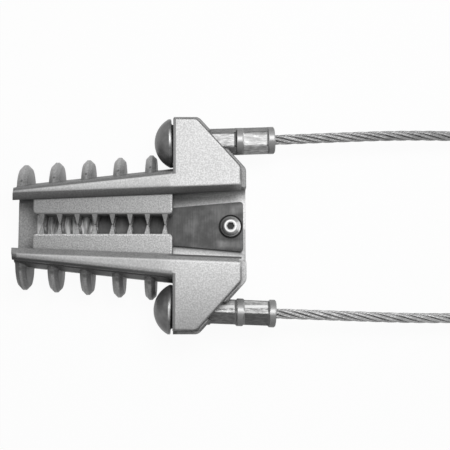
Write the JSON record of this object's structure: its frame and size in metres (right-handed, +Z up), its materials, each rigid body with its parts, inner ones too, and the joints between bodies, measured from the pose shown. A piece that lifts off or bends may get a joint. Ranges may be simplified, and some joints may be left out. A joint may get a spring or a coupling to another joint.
{
  "type": "wedge anchor clamp",
  "caption": "Cast wedge anchor clamp for an aerial cable, with sliding toothed jaws in a ribbed tapered channel and a wire rope bail.",
  "frame": {"origin": "on the surface that the clamp lies on, under the middle of its bounding box without the bail's rope and terminals", "axes": "+X along the clamp from the narrow cable end to the bail, +Y across it, +Z up out of the open front face"},
  "size_m": [0.3282, 0.1266, 0.038],
  "materials": {
    "cast_aluminium": "as-cast, lightly blasted",
    "jaw_alloy": "sand-blasted, grainy",
    "dark_steel": "dark satin",
    "stainless": "turned and crimped",
    "head_steel": "dull forged",
    "wire_rope": "stranded wire",
    "fixings": "plain"
  },
  "bodies": {
    "housing": {"clamp_body": "cast_aluminium", "keeper_plate": "dark_steel", "keeper_washer": "fixings", "keeper_screw": "fixings"},
    "left_wedge": {"wedge_jaw_left": "jaw_alloy"},
    "right_wedge": {"wedge_jaw_right": "jaw_alloy"},
    "bail": {"bail_rope": "wire_rope", "bail_sleeve_left": "stainless", "bail_sleeve_right": "stainless", "bail_head_left": "head_steel", "bail_head_right": "head_steel"}
  },
  "joints": [
    {"name": "left_wedge_slide", "type": "slide", "parent": "housing", "child": "left_wedge", "axis": [0.9992, 0.0401, 0], "range_m": [0, 0.031]},
    {"name": "right_wedge_slide", "type": "slide", "parent": "housing", "child": "right_wedge", "axis": [0.9992, -0.0401, 0], "range_m": [0, 0.031]},
    {"name": "bail_swing", "type": "hinge", "parent": "housing", "child": "bail", "pos_m": [0.01585, 0, 0.023], "axis": [0, -1, 0], "range_deg": [0, 4]}
  ],
  "couplings": [
    {"joint": "right_wedge_slide", "follows": "left_wedge_slide", "ratio": 1}
  ]
}
